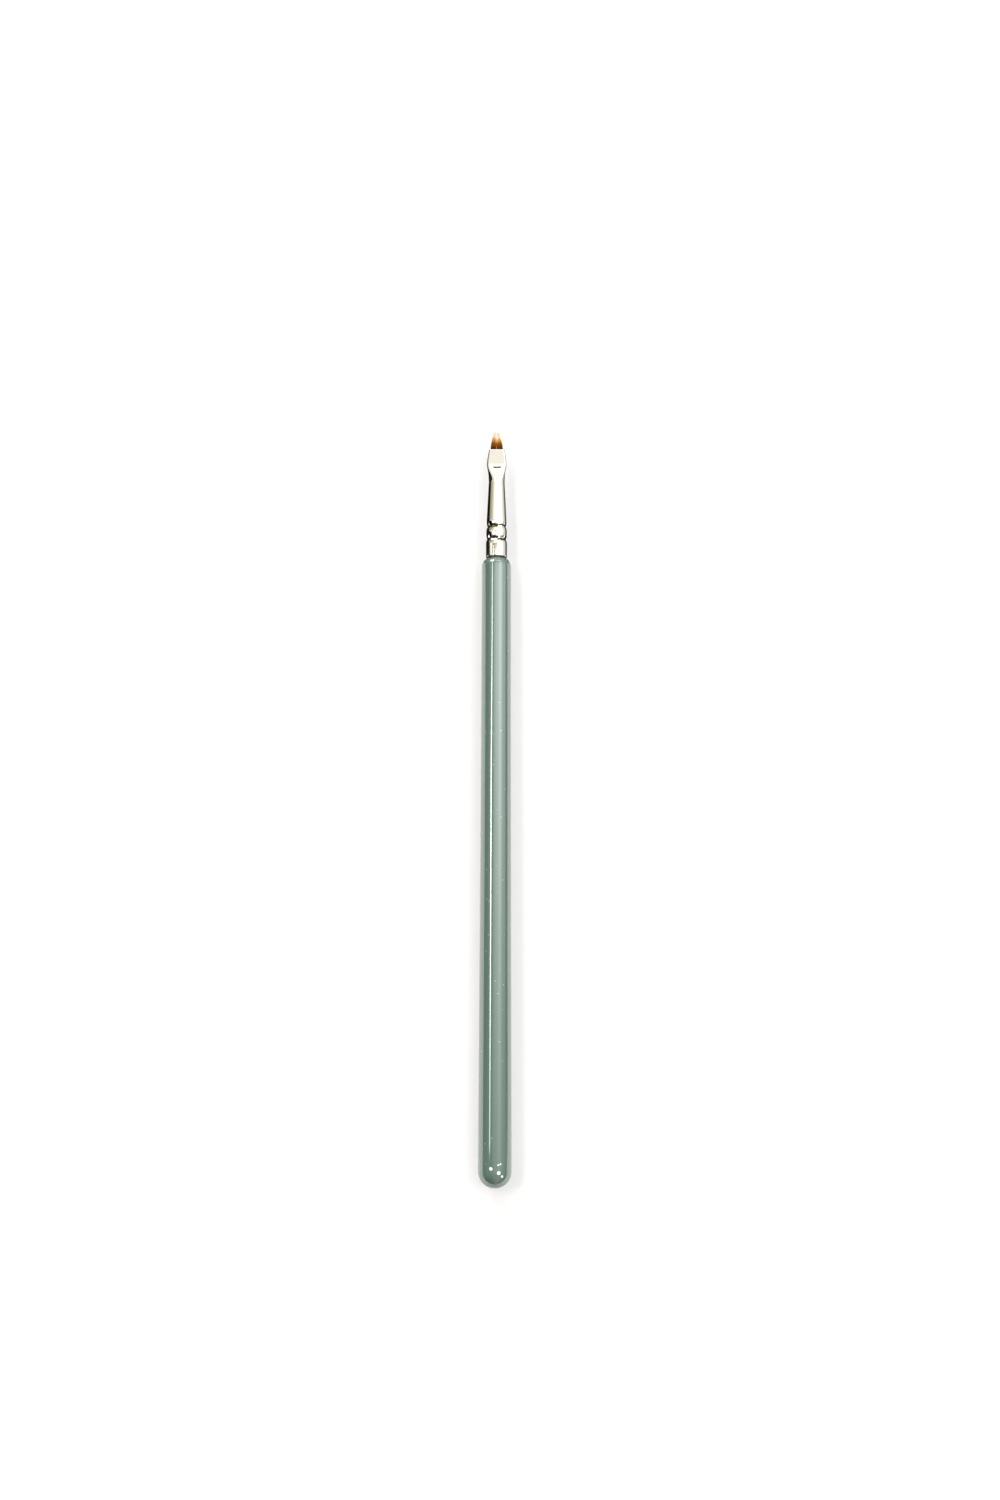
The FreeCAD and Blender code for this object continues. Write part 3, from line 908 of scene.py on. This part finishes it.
def dirt_and_shade_share(point, settings):
    """How dark a spot on the tube is painted, from 0 to 1: partly dirt, partly painted shade and
    painted dark reflections.
    """
    rear = JUNCTION + settings.collar_run
    side = point.x / settings.bead_radius
    marked = min(1.0, MARK_DIRT_AND_SHADE * crease_mark(point.y, point.x))
    share = max(marked, 1 - ease((point.y - JUNCTION) / RIM_SHADE - 0.5))
    for groove, low, high, ahead, reach in GROOVE_DIRT_AND_SHADE:
        away = abs(point.y - rear - groove * settings.crimp_spacing - ahead) / reach
        if away < PATCH_GONE:
            within = ease((side - low) / PATCH_FADE + 0.5) * ease((high - side) / PATCH_FADE + 0.5)
            fading = ease((away - PATCH_FULL) / (PATCH_GONE - PATCH_FULL))
            share = max(share, within * (1 - fading))
    return share


def tube_ring(station, inset, settings, count):
    """The tube's section as points in space, drawn further in, with its tool marks."""
    section = [size - inset for size in ferrule_section(station, settings)]
    depth = settings.crimp_depth * groove_share(station, settings)
    mark_depth = MARK_DEPTH * max(0.0, 1 - inset / settings.wall)
    points = []
    for across, up in oblong_ring(*section, count):
        radius = math.hypot(across, up)
        pressed = 1 - depth * roll_wobble(station, math.atan2(up, across), settings) / radius
        mark = mark_depth * crease_mark(station, across) * (1 if up > 0 else -1)
        points.append(Vector((across * pressed, station, AXIS_HEIGHT + up * pressed - mark)))
    return points


# Sides round the ferrule, and how far its close rings reach behind the press mark and in
# front of the crease.
FERRULE_SIDES = 192
BEHIND_MARK = 0.4 * MM
BEFORE_CREASE = 0.3 * MM


def build_ferrule(settings):
    """The drawn tube as one closed shell: outside, mouth lip, bore and rear rim."""
    count = FERRULE_SIDES
    wall = settings.wall
    lip = wall / 2
    press_start = CREASE - PRESS_MARK - BEHIND_MARK
    press_end = CREASE + BEFORE_CREASE
    stations = (
        crimp_stations(settings)
        + steps(WAIST, press_start, 42)[1:-1]
        + steps(press_start, press_end, 46)[:-1]
        + steps(press_end, MOUTH - lip, 34)
    )
    turns = steps(0.0, math.pi, 10)[1:-1]
    rings = [tube_ring(station, 0.0, settings, count) for station in stations]
    grooves = [groove_share(point.y, settings) for ring in rings for point in ring]
    # How dark each spot is painted: partly dirt, partly painted shade and painted dark
    # reflections.
    dirt_and_shade = [dirt_and_shade_share(point, settings) for ring in rings for point in ring]
    for turned in turns:
        ring = tube_ring(MOUTH - lip, lip * (1 - math.cos(turned)), settings, count)
        rings.append([point + Vector((0.0, lip * math.sin(turned), 0.0)) for point in ring])
    bore = stations[:-1:2] + stations[-1:]
    rings += [tube_ring(station, wall, settings, count) for station in reversed(bore)]
    unmarked = [0.0] * (count * (len(rings) - len(stations)))
    rim = []
    for turned in turns:
        ring = tube_ring(stations[0], lip * (1 + math.cos(turned)), settings, count)
        rim.append([point - Vector((0.0, lip * math.sin(turned), 0.0)) for point in ring])
    rim_dirt_and_shade = [dirt_and_shade_share(point, settings) for ring in rim for point in ring]
    shape = bmesh.new()
    add_skin(shape, rings + rim, wrap=True)
    piece = new_piece("nickel_ferrule", shape)
    store(piece, "groove", grooves + unmarked + [0.0] * len(rim_dirt_and_shade))
    store(piece, "dirt_and_shade", dirt_and_shade + unmarked + rim_dirt_and_shade)
    return piece


# Hair

# How unruly the strands are. Shares of the pitch: the shift of each strand. Shares of the
# mouth's half width: the shift of the parting.
STRAND_SHIFT = 0.12
PARTING_SHIFT = 0.06
# How much shorter a strand is towards the sides of its clump, towards its top and underside,
# by chance, and past the middle of the right half of the right clump, as shares of the
# stagger. No strand is shorter than the last share.
SHORT_ASIDE = 0.55
SHORT_LEVEL = 0.25
SHORT_CHANCE = 0.35
SHORT_RIGHT = 0.35
RIGHT_START = 0.5
SHORT_LIMIT = 1.3
# Scatter of the tips across and up, half height of a clump at its tips, and sway of the
# middle of a strand across and up.
TIP_SCATTER = (0.05 * MM, 0.03 * MM)
TIP_HEIGHT = 0.10 * MM
SWAY = (0.035 * MM, 0.02 * MM)
# A strand starts in front of the crease and is free from a little inside the mouth. Its
# taper starts at a share of its free length, and the curve of the taper is a power.
ROOT_START = 0.03 * MM
FREE_START = 0.3 * MM
TAPER_START = 0.35
TAPER_CURVE = 1.3
# Share of the bend towards the tip that is straight, and counts of rings and of sides.
STRAIGHT_BEND = 0.72
STRAND_RINGS = 9
STRAND_SIDES = 5
# The corner of the bundle is at least this round.
LEAST_CORNER = 0.1 * MM


def lattice(half_width, half_thick, corner, pitch, draws):
    """Places of the strands at the mouth, in shares of its half width and half thickness."""
    places = []
    row_rise = pitch * math.sqrt(3) / 2
    rows = int(half_thick / row_rise)
    columns = int(half_width / pitch) + 1
    for row in range(-rows, rows + 1):
        for column in range(-columns, columns + 1):
            shift = draws.uniform(-STRAND_SHIFT, STRAND_SHIFT) * pitch
            across = (column + 0.5 * (row % 2)) * pitch + shift
            up = row * row_rise + draws.uniform(-STRAND_SHIFT, STRAND_SHIFT) * pitch
            beyond_side = max(0.0, abs(across) - (half_width - corner))
            beyond_top = max(0.0, abs(up) - (half_thick - corner))
            if math.hypot(beyond_side, beyond_top) <= corner:
                places.append((across / half_width, up / half_thick))
    return places


def strand_path(place, settings, tube, draws):
    """Points down the middle of one strand, from the resin to its tip, with their shares."""
    inset = tube.wall + settings.hair_gap + settings.strand_radius
    side, level = place
    clump = -1.0 if side < draws.uniform(-PARTING_SHIFT, PARTING_SHIFT) else 1.0
    in_clump = min(1.0, max(-1.0, 2 * side - clump))
    shortfall = SHORT_ASIDE * in_clump ** 2 + SHORT_LEVEL * level ** 2
    shortfall += SHORT_CHANCE * draws.random() ** 2
    if clump > 0 and in_clump > RIGHT_START:
        shortfall += SHORT_RIGHT * (in_clump - RIGHT_START)
    tip_station = HAIR_TIP - settings.tip_stagger * min(SHORT_LIMIT, shortfall)
    tip_across = clump * settings.clump_offset + settings.clump_spread * in_clump
    tip_across += draws.gauss(0.0, TIP_SCATTER[0])
    tip_up = TIP_HEIGHT * level + draws.gauss(0.0, TIP_SCATTER[1])
    sway, heave = (draws.gauss(0.0, most) for most in SWAY)
    points = []
    for station in (CREASE + ROOT_START, (CREASE + MOUTH) / 2):
        half_width, half_thick, _ = ferrule_section(station, tube)
        points.append((side * (half_width - inset), station, level * (half_thick - inset), 0.0))
    half_width, half_thick, _ = ferrule_section(MOUTH, tube)
    root_across = side * (half_width - inset) + clump * settings.parting * (1 - abs(side))
    root_up = level * (half_thick - inset)
    for share in steps(0.0, 1.0, STRAND_RINGS):
        bend = mix(share * share, share, STRAIGHT_BEND)
        belly = math.sin(math.pi * share)
        points.append((
            mix(root_across, tip_across, bend) + sway * belly,
            mix(MOUTH - FREE_START, tip_station, share),
            mix(root_up, tip_up, bend) + heave * belly,
            share,
        ))
    return points


def add_strand(shape, path, settings):
    """One tapered strand as a thin tube with a closed tip."""
    rings = []
    for across, station, up, share in path:
        taper = max(0.0, (share - TAPER_START) / (1 - TAPER_START)) ** TAPER_CURVE
        radius = mix(settings.strand_radius, settings.tip_radius, taper)
        rings.append([
            Vector((
                across + radius * math.cos(turned),
                station,
                AXIS_HEIGHT + up + radius * math.sin(turned),
            ))
            for turned in steps(0.0, 2 * math.pi, STRAND_SIDES)[:-1]
        ])
    rows = add_skin(shape, rings)
    shape.faces.new(rows[0])
    shape.faces.new(rows[-1])


def build_hair(settings, tube):
    """The whole tuft: several hundred strands in two clumps."""
    draws = random.Random(settings.seed)
    inset = tube.wall + settings.hair_gap + settings.strand_radius
    half_width, half_thick, corner = (size - inset for size in ferrule_section(MOUTH, tube))
    places = lattice(half_width, half_thick, max(corner, LEAST_CORNER), settings.pitch, draws)
    shape = bmesh.new()
    along = []
    strand = []
    for place in places:
        path = strand_path(place, settings, tube, draws)
        add_strand(shape, path, settings)
        shade = 0.8 * draws.random() + (0.2 if place[0] > 0 else 0.0)
        for _, _, _, share in path:
            along.extend([share] * STRAND_SIDES)
            strand.extend([shade] * STRAND_SIDES)
    piece = new_piece("hair_tuft", shape, sharp_degrees=80)
    store(piece, "along", along)
    store(piece, "strand", strand)
    return piece


# Stage

# The studio light round the handle: degrees from straight up towards +X, and the share of
# the full brightness there. A dark room lies low on the left, and a large soft light
# stands on the right.
LIGHT_ACROSS = [
    (-100, 0.00), (-62, 0.00), (-55, 0.10), (-44, 0.15), (-22, 0.15), (-13, 0.56), (-5, 0.60),
    (2, 0.78), (10, 0.81), (17, 0.88), (25, 1.15), (33, 1.15), (41, 0.97), (49, 0.69),
    (57, 0.47), (66, 0.54), (75, 0.28), (86, 0.05), (100, 0.0),
]

# The same light along the brush: degrees towards +Y, and a share.
LIGHT_ALONG = [
    (-90, 0.15), (-40, 0.18), (-14, 0.20), (-7, 0.30), (2, 0.66), (12, 1.02), (46, 1.10),
    (62, 0.80), (72, 0.35), (84, 0.08), (90, 0.02),
]

# What the ferrule mirrors instead, further along: first its collar and bead, then the rest.
COLLAR_ACROSS = [
    (-100, 0.00), (-88, 0.00), (-82, 0.10), (-75, 0.78), (-66, 1.20), (-56, 1.20), (-48, 0.80),
    (-38, 0.44), (-30, 0.42), (-20, 0.50), (-8, 0.58), (2, 0.72), (12, 1.00), (20, 3.00),
    (28, 6.00), (38, 5.60), (48, 3.40), (58, 1.80), (68, 1.30), (77, 1.00), (90, 0.85),
    (100, 0.80),
]
CONE_ACROSS = [
    (-100, 0.00), (-93, 0.05), (-88, 0.34), (-72, 0.48), (-56, 0.60), (-42, 0.88), (-28, 1.20),
    (-18, 1.45), (15, 1.60), (28, 3.50), (40, 3.20), (52, 1.60), (62, 1.40), (77, 1.00),
    (92, 0.78), (100, 0.70),
]
# No share in these lists is above this one.
RAMP_TOP = 6.5

# The ferrule's own light starts and ends at these degrees along the brush, and passes from
# the collar's list to the cone's. It is duller on the flat face, a little less so on the
# flare, and warmer where it is dark.
TUBE_START = (13.76, 13.9)
TUBE_END = (50.0, 45.0)
CONE_START = (15.5, 18.0)
DULL_FACE = (20.5, 24.5, 1.0, 0.74)
DULL_FLARE = (28.0, 33.0, 0.0, 0.1)
WARM_LEVELS = (0.25, 1.2)
WARM_TINT = (1.0, 0.93, 0.68)
PALE_TINT = (1.0, 1.0, 0.97)

# A second soft light, high on the left beyond the hair, as ranges of both angles, and its
# strength.
FILL_ACROSS = (-80, -50, -30)
FILL_ALONG = (44, 58, 72)
FILL_LEVEL = 8.0

# The strip lamp, in degrees: its left, right and rear edges, how far it bends aside, how its
# light grows along it, and how it fades at its front.
STRIP_LEFT = (-40.3, -37.8)
STRIP_RIGHT = (-30.9, -33.4)
STRIP_REAR = (-7.05, -6.6)
STRIP_BEND = (6.0, 12.5, 0.0, 3.5)
STRIP_LEVEL = (-6.6, 3.0, 9.0, 24.0)
STRIP_FRONT = (13.0, 6.0, 0.5, 1.0)


def light_profile(tree, degrees, profile):
    """A smooth curve of light over an angle, from a list of degrees and shares."""
    low = profile[0][0]
    high = profile[-1][0]
    place = map_range(tree, degrees, float(low), float(high), smooth=False)
    curve = color_ramp(tree, place, "CARDINAL", [
        ((at_degrees - low) / (high - low), (share / RAMP_TOP,) * 3)
        for at_degrees, share in profile
    ])
    return times(tree, curve, RAMP_TOP)


def light_strip(tree, across, along):
    """A long narrow lamp on the left, in line with the brush."""
    bent = calculate(tree, "SUBTRACT", across, map_range(tree, along, *STRIP_BEND))
    sides = [map_range(tree, bent, *edge) for edge in (STRIP_LEFT, STRIP_RIGHT)]
    runs = [map_range(tree, along, *run) for run in (STRIP_REAR, STRIP_FRONT, STRIP_LEVEL)]
    return times(tree, *sides, *runs)


def tube_light(tree, across, along):
    """What the ferrule mirrors, and the share of it that counts at this height."""
    collar = light_profile(tree, across, COLLAR_ACROSS)
    cone = light_profile(tree, across, CONE_ACROSS)
    duller = plus(
        tree, map_range(tree, along, *DULL_FACE), map_range(tree, along, *DULL_FLARE))
    further = map_range(tree, along, *CONE_START)
    level = mix_color(tree, further, collar, times(tree, cone, duller))
    tint = mix_color(tree, map_range(tree, level, *WARM_LEVELS), WARM_TINT, PALE_TINT)
    share = times(
        tree, map_range(tree, along, *TUBE_START), map_range(tree, along, *TUBE_END))
    return scale_color(tree, tint, level), share


def soft_lobe(tree, across, along):
    """The fill light: it rises and falls smoothly over both angles."""
    shares = []
    for degrees, (low, middle, high) in ((across, FILL_ACROSS), (along, FILL_ALONG)):
        shares.append(map_range(tree, degrees, float(low), float(middle)))
        shares.append(map_range(tree, degrees, float(high), float(middle)))
    return times(tree, *shares)


def build_light(settings):
    """The room light: a soft dome, a strip lamp, and a pale backdrop for the camera."""
    world = bpy.data.worlds.new("studio")
    bpy.context.scene.world = world
    tree = new_tree(world)
    direction = add_node(tree, "ShaderNodeTexCoord").outputs["Generated"]
    apart = split(tree, direction)
    to_degrees = math.degrees(1)
    across = times(tree, calculate(tree, "ARCTAN2", apart["X"], apart["Z"]), to_degrees)
    along = times(tree, calculate(tree, "ARCSINE", apart["Y"]), to_degrees)
    dome = times(
        tree, light_profile(tree, across, LIGHT_ACROSS), light_profile(tree, along, LIGHT_ALONG))
    fill = times(tree, soft_lobe(tree, across, along), FILL_LEVEL)
    broad = times(tree, plus(tree, dome, fill), settings.studio)
    with_strip = plus(tree, broad, light_strip(tree, across, along))
    room = scale_color(tree, settings.light, with_strip)
    mirrored, share = tube_light(tree, across, along)
    studio = mix_color(tree, share, room, mirrored)
    lit = add_node(tree, "ShaderNodeBackground", {"Color": studio, "Strength": 1.0})
    seen = add_node(
        tree, "ShaderNodeBackground",
        {"Color": (1.0, 1.0, 0.995, 1.0), "Strength": settings.backdrop})
    is_camera = add_node(tree, "ShaderNodeLightPath").outputs["Is Camera Ray"]
    chosen = add_node(
        tree, "ShaderNodeMixShader", {0: is_camera, 1: lit.outputs[0], 2: seen.outputs[0]})
    add_node(tree, "ShaderNodeOutputWorld", {"Surface": chosen.outputs[0]})


def build_floor(settings):
    """A square table top under the brush."""
    shape = bmesh.new()
    bmesh.ops.create_grid(shape, x_segments=8, y_segments=8, size=settings.floor_size / 2)
    floor = new_piece("table_top", shape)
    floor.data.materials.append(floor_material(settings))
    return floor


# Where the lamp for the table stands, seen from the brush, and its size in the sky.
LAMP_PLACE = (-0.54, 0.40, 1.0)
LAMP_DEGREES = 2.0


def build_lamp(settings, floor):
    """A weak lamp on the left for the table alone, which draws the shadow on the right."""
    light = bpy.data.lights.new("shadow_lamp", "SUN")
    light.energy = settings.lamp
    light.color = settings.lamp_color
    light.angle = math.radians(LAMP_DEGREES)
    lamp = bpy.data.objects.new("shadow_lamp", light)
    lamp.rotation_euler = Vector(LAMP_PLACE).to_track_quat("Z", "Y").to_euler()
    bpy.context.scene.collection.objects.link(lamp)
    lit = bpy.data.collections.new("lit_table")
    lit.objects.link(floor)
    lamp.light_linking.receiver_collection = lit


# Dark cards beside the brush that show only as its dark edges, as painted reflections: side,
# X range, distance of the rear edge from the ferrule's rim at both ends of that range, distance
# of the front edge, and how pale each glows next to the brush and 25 mm off. The rear edges
# are slanted, so that the shoulder of the handle mirrors none of them further back.
CARDS = [
    ("left", (-45 * MM, -2.8 * MM), (10.2 * MM, 1.05 * MM), 56 * MM, (0.0, 0.01)),
    ("right", (2.8 * MM, 60 * MM), (1.05 * MM, 13.4 * MM), 56 * MM, (0.01, 0.8)),
    ("far_left", (-900 * MM, -45 * MM), (11 * MM, 11 * MM), 500 * MM, (0.0, 0.01)),
    ("far_right", (60 * MM, 900 * MM), (15 * MM, 15 * MM), 500 * MM, (0.8, 0.8)),
    ("low_right", (45 * MM, 400 * MM), (BUTT_END - JUNCTION,) * 2, 6 * MM, (0.0, 0.0)),
]
CARD_HEIGHT = 0.3 * MM


def build_cards():
    """The dark and glowing cards, seen by reflections alone: painted reflections on the brush's
    edges.
    """
    for side, (left, right), (rear_left, rear_right), front, (near, far) in CARDS:
        shape = bmesh.new()
        corners = ((left, rear_left), (right, rear_right), (right, front), (left, front))
        shape.faces.new(
            [shape.verts.new((x, JUNCTION + ahead, CARD_HEIGHT)) for x, ahead in corners])
        card = new_piece(f"{side}_card", shape)
        card.data.materials.append(card_material(side, near, far))
        card.visible_camera = False
        card.visible_diffuse = False
        card.visible_shadow = False


def build_camera(settings):
    """The camera, above the brush and a little towards its butt."""
    lens = bpy.data.cameras.new("camera")
    lens.lens = settings.focal_length
    lens.sensor_width = 36.0
    lens.clip_start = 0.01
    lens.clip_end = 20.0
    camera = bpy.data.objects.new("camera", lens)
    camera.location = (settings.camera_side, -settings.camera_back, settings.camera_height)
    camera.rotation_euler = (settings.camera_tilt, 0.0, settings.camera_turn)
    bpy.context.scene.collection.objects.link(camera)
    bpy.context.scene.camera = camera


# Operators

class EYELINER_OT_handle(bpy.types.Operator):
    """Build the lacquered handle"""
    bl_idname = "eyeliner.handle"
    bl_label = "Handle"

    def execute(self, context):
        settings = context.scene.eyeliner_handle
        piece = build_handle(settings, context.scene.eyeliner_ferrule)
        piece.data.materials.append(lacquer_material(settings))
        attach(piece, "root")
        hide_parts("handle")
        return {"FINISHED"}


class EYELINER_OT_ferrule(bpy.types.Operator):
    """Build the nickel-plated ferrule"""
    bl_idname = "eyeliner.ferrule"
    bl_label = "Ferrule"

    def execute(self, context):
        settings = context.scene.eyeliner_ferrule
        piece = build_ferrule(settings)
        piece.data.materials.append(nickel_material(settings))
        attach(piece, "root")
        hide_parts("ferrule")
        return {"FINISHED"}


class EYELINER_OT_resin(bpy.types.Operator):
    """Give the resin inside the ferrule its finish"""
    bl_idname = "eyeliner.resin"
    bl_label = "Resin"

    def execute(self, context):
        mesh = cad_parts["glue_button"].data
        mesh.materials.clear()
        mesh.materials.append(resin_material())
        return {"FINISHED"}


class EYELINER_OT_hair(bpy.types.Operator):
    """Build the strands of hair"""
    bl_idname = "eyeliner.hair"
    bl_label = "Hair"

    def execute(self, context):
        settings = context.scene.eyeliner_hair
        piece = build_hair(settings, context.scene.eyeliner_ferrule)
        piece.data.materials.append(hair_material(settings))
        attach(piece, "root")
        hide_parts("bristle_tuft")
        return {"FINISHED"}


class EYELINER_OT_stage(bpy.types.Operator):
    """Build the table, the studio light and the camera"""
    bl_idname = "eyeliner.stage"
    bl_label = "Stage"

    def execute(self, context):
        settings = context.scene.eyeliner_stage
        build_lamp(settings, build_floor(settings))
        build_cards()
        build_light(settings)
        build_camera(settings)
        context.scene.view_settings.view_transform = "Standard"
        return {"FINISHED"}


class EYELINER_PT_panel(bpy.types.Panel):
    """The steps and settings of the brush"""
    bl_idname = "EYELINER_PT_panel"
    bl_label = "Eyeliner Brush"
    bl_space_type = "VIEW_3D"
    bl_region_type = "UI"
    bl_category = "Brush"

    def draw(self, context):
        for operator, group in STEPS:
            box = self.layout.box()
            box.operator(operator.bl_idname)
            if group:
                settings = getattr(context.scene, group)
                for name in settings.__annotations__:
                    box.prop(settings, name)


# Each step's operator, and the name of its settings on the scene.
STEPS = [
    (EYELINER_OT_handle, "eyeliner_handle"),
    (EYELINER_OT_ferrule, "eyeliner_ferrule"),
    (EYELINER_OT_resin, None),
    (EYELINER_OT_hair, "eyeliner_hair"),
    (EYELINER_OT_stage, "eyeliner_stage"),
]
SETTINGS = [
    ("eyeliner_handle", HandleSettings),
    ("eyeliner_ferrule", FerruleSettings),
    ("eyeliner_hair", HairSettings),
    ("eyeliner_stage", StageSettings),
]


def register():
    for name, group in SETTINGS:
        bpy.utils.register_class(group)
        setattr(bpy.types.Scene, name, PointerProperty(type=group))
    for operator, _ in STEPS:
        bpy.utils.register_class(operator)
    bpy.utils.register_class(EYELINER_PT_panel)


def unregister():
    bpy.utils.unregister_class(EYELINER_PT_panel)
    for operator, _ in reversed(STEPS):
        bpy.utils.unregister_class(operator)
    for name, group in reversed(SETTINGS):
        delattr(bpy.types.Scene, name)
        bpy.utils.unregister_class(group)


def main():
    """Build the whole brush."""
    register()
    bpy.ops.eyeliner.handle()
    bpy.ops.eyeliner.ferrule()
    bpy.ops.eyeliner.resin()
    bpy.ops.eyeliner.hair()
    bpy.ops.eyeliner.stage()


if __name__ == "__main__":
    main()
